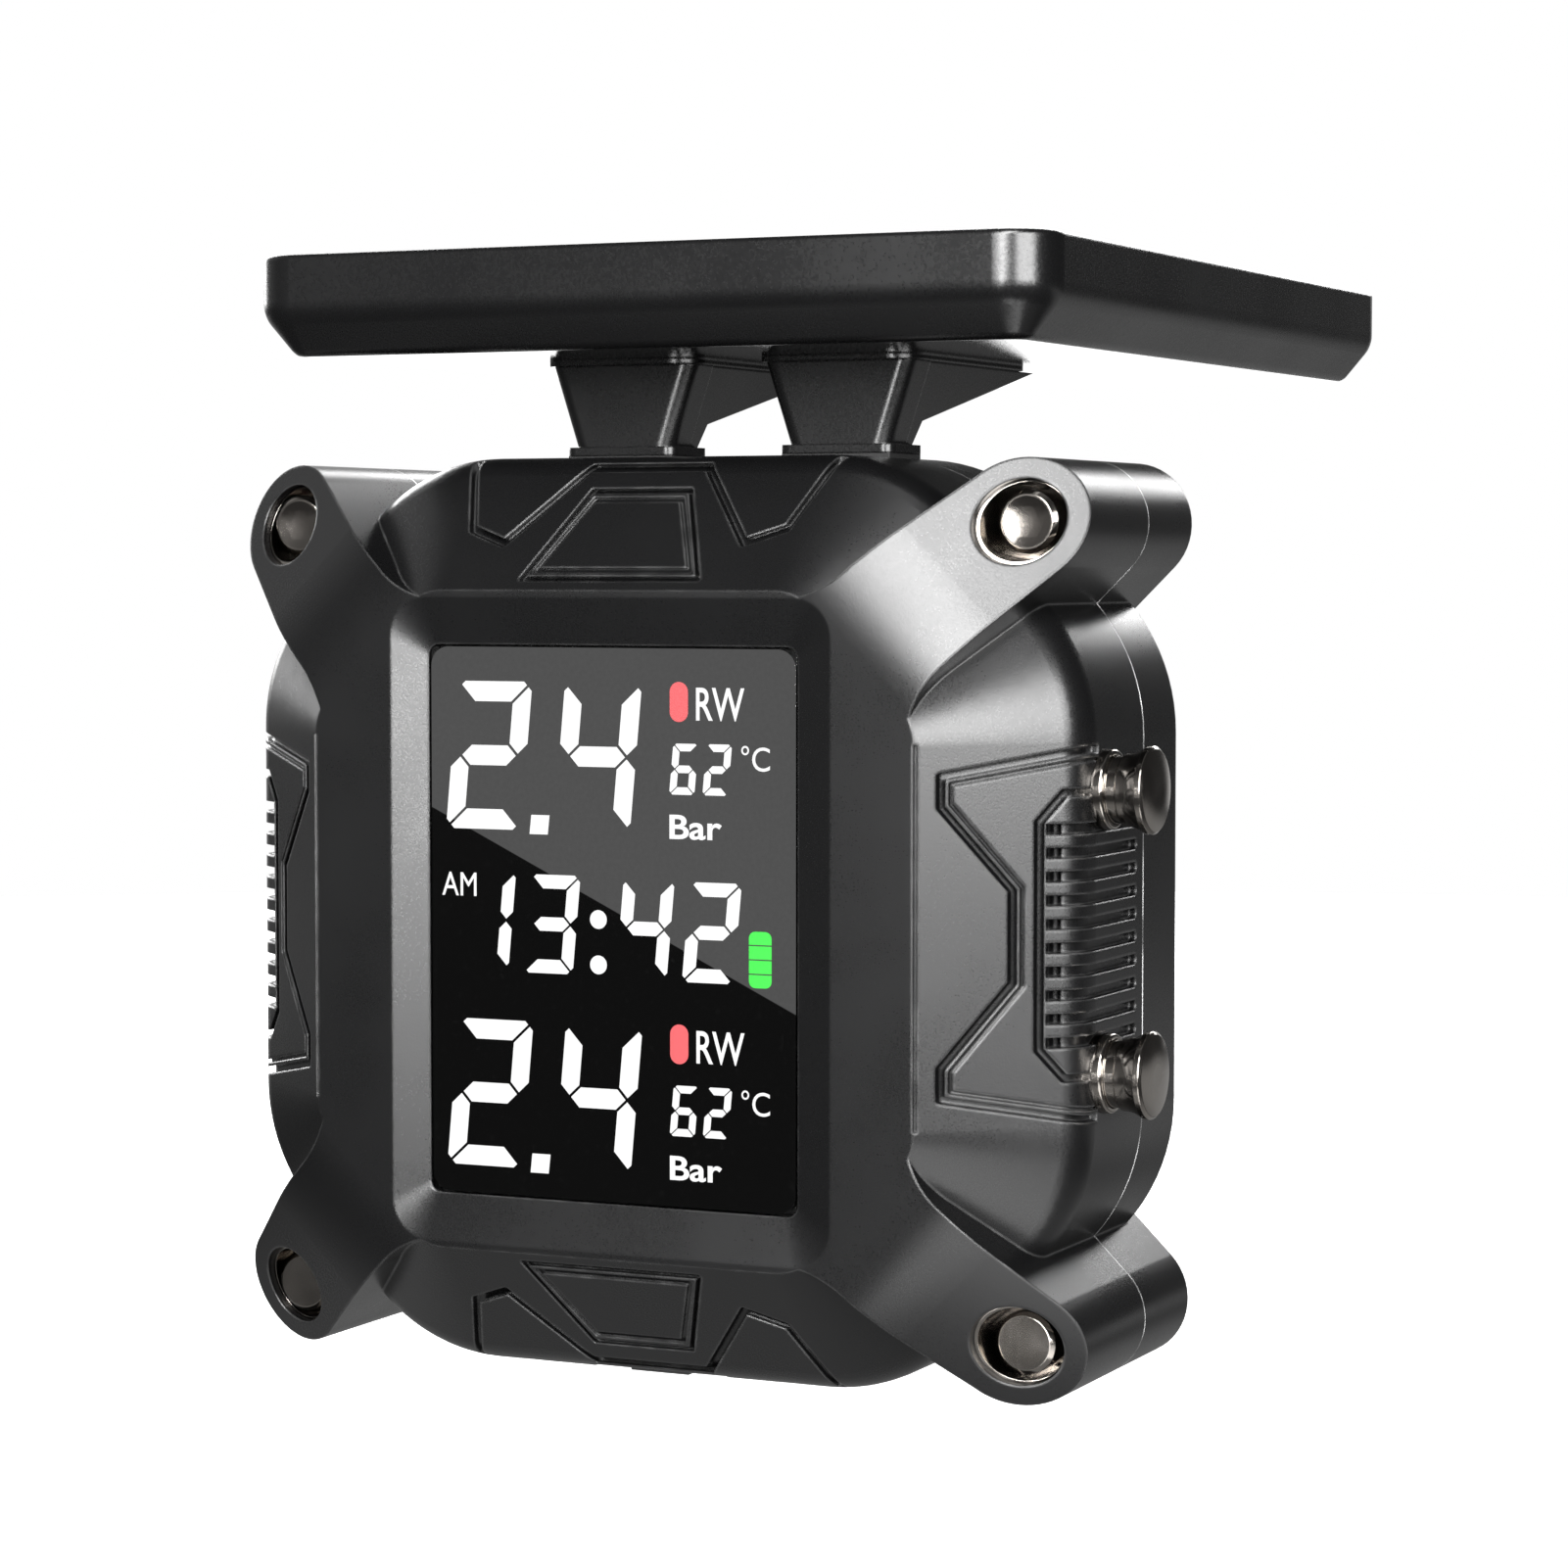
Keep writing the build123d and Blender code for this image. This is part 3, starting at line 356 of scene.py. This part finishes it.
def display_film():
    """Dark display face with a painted reflection: a faint glow below a slanted line and a brighter painted
    glare above it.
    """
    s = Shader("finish_display_film")
    parts = s.add("SeparateXYZ", {0: s.place})
    line = s.sums("MULTIPLY", parts.outputs["X"], -PAINTED_GLARE_SLOPE)
    above = s.sums("ADD", parts.outputs["Z"], line)
    painted_glare_mask = s.span(above, PAINTED_GLARE_OFFSET - PAINTED_GLARE_SOFT, PAINTED_GLARE_OFFSET + PAINTED_GLARE_SOFT, 0.0, 1.0)
    mottle = s.span(s.noise(0.3), 0.3, 0.7, 0.96, 1.04)
    # Painted reflection: the face glows faintly below the line and brighter above it.
    glow = s.blend(painted_glare_mask, (0.0028, 0.0028, 0.0028), (0.084, 0.084, 0.084))
    inputs = {
        "Base Color": (0.001, 0.001, 0.001, 1), "Roughness": s.span(mottle, 0.96, 1.04, 0.5, 0.6),
        "Emission Color": glow, "Emission Strength": mottle, "Specular IOR Level": 0.0,
    }
    return s.finish(s.add("BsdfPrincipled", inputs))


def lit_mark(name, colour):
    """A lit segment: an even glow that dims slightly in a fine pattern."""
    s = Shader("finish_mark_" + name)
    mottle = s.span(s.noise(0.25), 0.3, 0.7, 0.97, 1.03)
    inputs = {
        "Base Color": (0.02, 0.02, 0.02, 1), "Roughness": 0.5,
        "Emission Color": (*colour, 1), "Emission Strength": mottle,
    }
    return s.finish(s.add("BsdfPrincipled", inputs))


def into_mesh(work, mesh):
    """Writes a finished bmesh into a mesh, with its faces turned outwards."""
    bmesh.ops.recalc_face_normals(work, faces=work.faces)
    work.to_mesh(mesh)
    work.free()


def head_piece(name, mesh, material):
    """A piece made of one mesh and one material, that moves with the head."""
    mesh.materials.clear()
    mesh.materials.append(material)
    piece = bpy.data.objects.new(name, mesh)
    bpy.context.scene.collection.objects.link(piece)
    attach(piece, "head")


def plates(name, outlines, front, thick, material):
    """Thin closed plates in the XZ plane, one per outline, whose faces look along -Y from front."""
    mesh = bpy.data.meshes.new(name)
    work = bmesh.new()
    for outline in outlines:
        near = [work.verts.new((x, front, z)) for x, z in outline]
        far = [work.verts.new((x, front + thick, z)) for x, z in outline]
        work.faces.new(near)
        work.faces.new(list(reversed(far)))
        count = len(outline)
        for k in range(count):
            after = (k + 1) % count
            work.faces.new((near[k], far[k], far[after], near[after]))
    into_mesh(work, mesh)
    head_piece(name, mesh, material)


def arc(centre, radius, start, end, steps=10):
    """Points on an arc, in degrees from +X towards +Z."""
    angles = [math.radians(start + (end - start) * k / steps) for k in range(steps + 1)]
    return [(centre[0] + radius * math.cos(a), centre[1] + radius * math.sin(a)) for a in angles]


def rounded_box(low, high, radius):
    inner_low = (low[0] + radius, low[1] + radius)
    inner_high = (high[0] - radius, high[1] - radius)
    points = arc(inner_high, radius, 0, 90)
    points += arc((inner_low[0], inner_high[1]), radius, 90, 180)
    points += arc(inner_low, radius, 180, 270)
    points += arc((inner_high[0], inner_low[1]), radius, 270, 360)
    return points


def in_metres(points):
    """Places on the display layout, given in mm from its centre."""
    return [((x + LAYOUT_X) * MM, (z + LAYOUT_Z) * MM) for x, z in points]


def digit_bars(width, height, stroke, gap, nip):
    """Outlines of the seven bars of an upright digit, named a to g, with its corner at the origin."""
    k = gap / math.sqrt(2)
    mid = height / 2
    half = stroke / 2
    top = [(k + 2 * nip, height), (k + nip, height - nip), (k + stroke, height - stroke)]
    top += [(width - u, v) for u, v in reversed(top)]
    left = [(0, height - k - 2 * nip), (nip, height - k - nip), (stroke, height - k - stroke)]
    left += [(stroke, mid + k + half), (half, mid + k), (0, mid + k + half)]
    centre = [(half + k, mid), (stroke + k, mid + half), (width - stroke - k, mid + half)]
    centre += [(width - half - k, mid), (width - stroke - k, mid - half), (stroke + k, mid - half)]

    def flip_u(points):
        return [(width - u, v) for u, v in points]

    def flip_v(points):
        return [(u, height - v) for u, v in points]

    return {
        "a": top, "d": flip_v(top), "g": centre, "f": left, "b": flip_u(left),
        "e": flip_v(left), "c": flip_v(flip_u(left)),
    }


BARS_LIT = {"1": "bc", "2": "abged", "3": "abgcd", "4": "fgbc", "6": "afgedc"}


def digit(figure, corner, width, height, stroke, gap):
    """Outlines of one slanted figure, in metres, from sizes in mm."""
    bars = digit_bars(width, height, stroke, gap, NIP_SHARE * stroke)
    outlines = []
    for bar in BARS_LIT[figure]:
        outlines.append(in_metres([(corner[0] + u + SLANT * v, corner[1] + v) for u, v in bars[bar]]))
    return outlines


def lettering(name, text, low, high, weight, material):
    """Generic unit lettering, set in the built-in face and fitted to a box given in mm."""
    curve = bpy.data.curves.new(name, "FONT")
    curve.body = text
    curve.offset = weight
    curve.extrude = 0.01
    curve.resolution_u = 5
    holder = bpy.data.objects.new(name, curve)
    bpy.context.scene.collection.objects.link(holder)
    bpy.context.view_layer.update()
    solid = holder.evaluated_get(bpy.context.evaluated_depsgraph_get())
    mesh = bpy.data.meshes.new_from_object(solid)
    bpy.data.objects.remove(holder)
    points = [v.co.copy() for v in mesh.vertices]
    first = Vector([min(p[k] for p in points) for k in range(3)])
    last = Vector([max(p[k] for p in points) for k in range(3)])
    for vertex in mesh.vertices:
        share = [(vertex.co[k] - first[k]) / (last[k] - first[k]) for k in range(3)]
        x = low[0] + share[0] * (high[0] - low[0])
        z = low[1] + share[1] * (high[1] - low[1])
        (x, z), = in_metres([(x, z)])
        vertex.co = (x, film_front - share[2] * MARK_THICK, z)
    work = bmesh.new()
    work.from_mesh(mesh)
    bmesh.ops.remove_doubles(work, verts=work.verts, dist=WELD)
    into_mesh(work, mesh)
    head_piece(name, mesh, material)


white = lit_mark("white", (1.0, 1.0, 1.0))
red = lit_mark("red", (0.93, 0.085, 0.10))
green = lit_mark("green", (0.0, 0.93, 0.025))


def pressure_block(name, drop):
    """One tire's readings, moved down by drop: pressure, temperature, wheel mark and units."""
    figures = digit("2", (-13.05, 6.15 - drop), **BIG_FIGURE)
    figures += digit("4", (-4.80, 6.20 - drop), **BIG_FIGURE)
    point = [(-6.62, 5.9), (-5.24, 5.9), (-5.10, 7.2), (-6.48, 7.2)]
    figures.append(in_metres([(x, z - drop) for x, z in point]))
    small_drop = drop * SMALL_STEP / BLOCK_STEP
    figures += digit("6", (3.88, 8.81 - small_drop), **SMALL_FIGURE)
    figures += digit("2", (6.33, 8.81 - small_drop), **SMALL_FIGURE)
    plates("marks_" + name, figures, mark_front, MARK_THICK, white)
    pill = rounded_box((3.93, 13.62 - small_drop), (5.27, 16.26 - small_drop), PILL_ROUND)
    plates("pill_" + name, [in_metres(pill)], mark_front, MARK_THICK, red)
    lettering("wheel_" + name, "RW", (5.87, 13.72 - small_drop), (9.39, 15.90 - small_drop), 0.008, white)
    lettering("degree_" + name, "°C", (9.17, 10.46 - small_drop), (11.24, 12.13 - small_drop), 0.0, white)
    lettering("unit_" + name, "Bar", (3.90, 5.85 - small_drop), (7.74, 7.48 - small_drop), 0.018, white)


def clock_row():
    """The time, with a colon of two round dots, and the half-day mark."""
    starts = {"1": (-12.06, -3.3), "3": (-7.16, -3.45), "4": (-0.12, -3.5), "2": (4.80, -3.6)}
    figures = []
    for figure, start in starts.items():
        figures += digit(figure, start, **CLOCK_FIGURE)
    for height in COLON_HEIGHTS:
        figures.append(in_metres(arc((COLON_X, height), COLON_RADIUS, 0, 360, 28)[:-1]))
    plates("marks_clock", figures, mark_front, MARK_THICK, white)
    lettering("half_day", "AM", (-13.37, 1.58), (-10.72, 3.17), 0.0, white)


def charge_mark():
    """An upright cell mark of four stacked bars with rounded ends."""
    left, right = 9.72, 11.36
    low, high = -3.82, -0.02
    step = (high - low) / 4
    gap = 0.08
    cut = 0.45
    bars = []
    for k in range(4):
        base = low + k * step + gap / 2
        roof = low + (k + 1) * step - gap / 2
        if k == 0:
            points = [(right, roof), (left, roof)] + arc((left + cut, base + cut), cut, 180, 270, 5)
            points += arc((right - cut, base + cut), cut, 270, 360, 5)
        elif k == 3:
            points = [(left, base), (right, base)] + arc((right - cut, roof - cut), cut, 0, 90, 5)
            points += arc((left + cut, roof - cut), cut, 90, 180, 5)
        else:
            points = [(left, base), (right, base), (right, roof), (left, roof)]
        bars.append(in_metres(points))
    plates("charge_bars", bars, mark_front, MARK_THICK, green)


film = rounded_box((-film_half.x, -film_half.z), (film_half.x, film_half.z), FILM_CORNER)
plates("display_film", [film], film_front, FILM_THICK, display_film())
pressure_block("front_wheel", 0.0)
pressure_block("rear_wheel", BLOCK_STEP)
clock_row()
charge_mark()

# ---------------------------------------------------------------- wires on the solar cells

CELL_ROWS = 6
FINGER_STEP = 1.55 * MM
FINGER_WIDE = 0.10 * MM
BAR_WIDE = 0.7 * MM
WIRE_HIGH = 0.03 * MM
WIRE_MARGIN = 0.6 * MM
FINGER_MARGINS = 2 * MM
CROWN_RIM = 0.4


def strip(work, low, high):
    """A closed, slightly crowned strip between two corners, its long edges lower than its middle."""
    along_x = (high.x - low.x) > (high.y - low.y)
    rim = low.z + CROWN_RIM * (high.z - low.z)
    if along_x:
        middle = (low.y + high.y) / 2
        section = [(low.y, low.z), (high.y, low.z), (high.y, rim), (middle, high.z), (low.y, rim)]
        ends = [[work.verts.new((x, y, z)) for y, z in section] for x in (low.x, high.x)]
    else:
        middle = (low.x + high.x) / 2
        section = [(low.x, low.z), (high.x, low.z), (high.x, rim), (middle, high.z), (low.x, rim)]
        ends = [[work.verts.new((x, y, z)) for x, z in section] for y in (low.y, high.y)]
    count = len(section)
    work.faces.new(ends[0])
    work.faces.new(list(reversed(ends[1])))
    for k in range(count):
        after = (k + 1) % count
        work.faces.new((ends[0][k], ends[1][k], ends[1][after], ends[0][after]))


def cell_wires():
    """Printed silver fingers across every cell row and one collecting bar along each."""
    low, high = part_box("solar_cells")
    pitch = (high.y - low.y) / CELL_ROWS
    work = bmesh.new()
    for row in range(CELL_ROWS):
        start = low.y + row * pitch + WIRE_MARGIN
        end = low.y + (row + 1) * pitch - WIRE_MARGIN
        middle = (start + end) / 2
        edge = Vector((low.x + WIRE_MARGIN, middle - BAR_WIDE / 2, high.z))
        strip(work, edge, Vector((high.x - WIRE_MARGIN, middle + BAR_WIDE / 2, high.z + WIRE_HIGH)))
        count = int((high.x - low.x - FINGER_MARGINS) / FINGER_STEP)
        first = (low.x + high.x) / 2 - FINGER_STEP * (count - 1) / 2
        for k in range(count):
            x = first + k * FINGER_STEP
            corner = Vector((x - FINGER_WIDE / 2, start, high.z))
            strip(work, corner, Vector((x + FINGER_WIDE / 2, end, high.z + WIRE_HIGH)))
    mesh = bpy.data.meshes.new("cell_wires")
    into_mesh(work, mesh)
    head_piece("cell_wires", mesh, finishes["tin_can"])


cell_wires()

# ---------------------------------------------------------------- studio

VIEW_POINT = Vector((126.16, -268.97, 24.05)) * MM
VIEW_AIM = Vector((8.63, -16.93, 9.24)) * MM
LENS = 94.5
SENSOR = 36

# Lights stand on their direction from the object, in metres; tilt turns them in their own plane.
LIGHT_DISTANCE = 0.6
LIGHT_AIM = Vector((0, -0.01, 0))
LIGHTS = {
    "key": dict(direction=(0.17, -0.87, 0.46), width=0.21, height=0.54, radiance=24.0, tilt=-28),
    "strip": dict(direction=(0.0, -1.0, -0.12), width=0.09, height=0.28, radiance=26.0),
    "side": dict(direction=(0.74, -0.64, 0.20), width=0.40, height=0.26, radiance=17.0),
    "rim": dict(direction=(-0.70, 0.58, 0.38), width=0.24, height=0.30, radiance=8.0),
    "back": dict(direction=(-0.08, 0.90, 0.42), width=0.34, height=0.22, radiance=9.0),
    "left": dict(direction=(-0.88, 0.42, 0.20), width=0.16, height=0.14, radiance=6.0),
    "bounce": dict(direction=(0.036, -0.044, -0.0455), width=0.05, height=0.05, radiance=2.4, distance=0.073),
}

# Soft cards of the world: each fades in between two cosines, edge and core, around its direction.
# The first two lie behind the object as the camera sees it, level and just below the horizon.
AMBIENT = 0.04
LOW_SLOPE = -0.29
LEVEL_CARD = dict(edge=0.76, core=0.92, strength=0.6)
LOW_CARD = dict(edge=0.94, core=0.97, strength=1.2)
FIXED_CARDS = (
    dict(direction=(-0.95, 0.0, 0.45), edge=0.8, core=1.0, strength=0.40),
    dict(direction=(0, 0, 1), edge=0.8, core=1.0, strength=0.15),
    dict(direction=(-0.42, -0.9, -0.05), edge=0.6, core=0.95, strength=0.12),
)

# The floor as rays other than the camera's find it: a pool around the middle, and a band behind.
FLOOR_DROP = 17 * MM
FLOOR_REACH = 0.62
FLOOR_LIFT = 0.75
POOL = dict(low=0.06, high=0.10, to_low=0.34, to_high=0.06)
BAND_RISE = dict(low=0.06, high=0.14, to_low=0.0, to_high=0.30)
BAND_FALL = dict(low=0.30, high=0.50, to_low=1.0, to_high=0.1)


def look_along(point, target):
    """A turn that points -Z at target."""
    back = (point - target).normalized()
    side = UP.cross(back).normalized()
    return Matrix((side, back.cross(side), back)).transposed().to_4x4()


def camera():
    lens = bpy.data.cameras.new("view")
    lens.lens = LENS
    lens.sensor_width = SENSOR
    lens.clip_start = 0.01
    lens.clip_end = 20
    holder = bpy.data.objects.new("view", lens)
    holder.matrix_world = Matrix.Translation(VIEW_POINT) @ look_along(VIEW_POINT, VIEW_AIM)
    bpy.context.scene.collection.objects.link(holder)
    bpy.context.scene.camera = holder


def softbox(name, direction, width, height, radiance, distance=LIGHT_DISTANCE, tilt=0.0):
    """A rectangular soft light that faces the object, as bright as radiance where it is seen."""
    light = bpy.data.lights.new(name, "AREA")
    light.shape = "RECTANGLE"
    light.size = width
    light.size_y = height
    light.energy = radiance * math.pi * width * height
    holder = bpy.data.objects.new(name, light)
    point = Vector(direction).normalized() * distance
    turn = look_along(point, LIGHT_AIM)
    holder.matrix_world = Matrix.Translation(point) @ turn @ Matrix.Rotation(math.radians(tilt), 4, "Z")
    holder.visible_camera = False
    bpy.context.scene.collection.objects.link(holder)


def world():
    """White to the eye. As light it is dim, with soft cards behind, beside, above and in front."""
    scene_world = bpy.data.worlds.new("studio")
    scene_world.use_nodes = True
    bpy.context.scene.world = scene_world
    tree = scene_world.node_tree
    tree.nodes.clear()
    link = tree.links.new

    def card(direction, edge, core, strength):
        """Light that fades in around one direction."""
        dot = tree.nodes.new("ShaderNodeVectorMath")
        dot.operation = "DOT_PRODUCT"
        link(place, dot.inputs[0])
        dot.inputs[1].default_value = Vector(direction).normalized()
        fade = tree.nodes.new("ShaderNodeMapRange")
        fade.interpolation_type = "SMOOTHSTEP"
        link(dot.outputs["Value"], fade.inputs[0])
        for index, value in ((1, edge), (2, core), (3, 0.0), (4, strength)):
            fade.inputs[index].default_value = value
        return fade.outputs[0]

    place = tree.nodes.new("ShaderNodeTexCoord").outputs["Generated"]
    forward = VIEW_AIM - VIEW_POINT
    low = LOW_SLOPE * math.hypot(forward.x, forward.y)
    glow = card((forward.x, forward.y, 0), **LEVEL_CARD)
    others = [card((forward.x, forward.y, low), **LOW_CARD)]
    others += [card(**settings) for settings in FIXED_CARDS]
    for other in others:
        total = tree.nodes.new("ShaderNodeMath")
        link(glow, total.inputs[0])
        link(other, total.inputs[1])
        glow = total.outputs[0]
    base = tree.nodes.new("ShaderNodeMath")
    link(glow, base.inputs[0])
    base.inputs[1].default_value = AMBIENT
    soft = tree.nodes.new("ShaderNodeBackground")
    soft.inputs["Color"].default_value = (1, 1, 1, 1)
    link(base.outputs[0], soft.inputs["Strength"])
    plain = tree.nodes.new("ShaderNodeBackground")
    plain.inputs["Color"].default_value = (1, 1, 1, 1)
    seen = tree.nodes.new("ShaderNodeLightPath").outputs["Is Camera Ray"]
    mix = tree.nodes.new("ShaderNodeMixShader")
    link(seen, mix.inputs[0])
    link(soft.outputs[0], mix.inputs[1])
    link(plain.outputs[0], mix.inputs[2])
    output = tree.nodes.new("ShaderNodeOutputWorld")
    link(mix.outputs[0], output.inputs["Surface"])


def floor():
    """A pale round floor, bright enough to merge with the white around it, and clear from below."""
    mesh = bpy.data.meshes.new("floor")
    work = bmesh.new()
    bmesh.ops.create_circle(work, cap_ends=True, segments=96, radius=FLOOR_REACH)
    work.to_mesh(mesh)
    work.free()
    s = Shader("finish_floor")
    mottle = s.noise(40.0, 3.0)
    tone = s.blend(mottle, (0.80, 0.80, 0.80), (0.86, 0.86, 0.86))
    matt = s.add("BsdfDiffuse", {"Color": tone})
    lift = s.add("Emission", {"Color": (1, 1, 1, 1), "Strength": FLOOR_LIFT})
    pale = s.add("AddShader", {0: matt, 1: lift})
    reach = s.add("VectorMath", {0: s.place}, operation="LENGTH").outputs["Value"]
    near = s.span(reach, **POOL)
    behind = s.add("SeparateXYZ", {0: s.place}).outputs["Y"]
    far = s.sums("MULTIPLY", s.span(behind, **BAND_RISE), s.span(behind, **BAND_FALL))
    dim = s.add("Emission", {"Color": (1, 1, 1, 1), "Strength": s.sums("ADD", near, far)})
    seen = s.add("LightPath").outputs["Is Camera Ray"]
    top = s.add("MixShader", {0: seen, 1: dim, 2: pale})
    below = s.add("NewGeometry").outputs["Backfacing"]
    mesh.materials.append(s.finish(s.add("MixShader", {0: below, 1: top, 2: s.add("BsdfTransparent")})))
    piece = bpy.data.objects.new("floor", mesh)
    piece.location = (0, 0, cad_low.z - FLOOR_DROP)
    bpy.context.scene.collection.objects.link(piece)


camera()
world()
floor()
for light_name, settings in LIGHTS.items():
    softbox(light_name, **settings)
bpy.context.scene.view_settings.view_transform = "Standard"
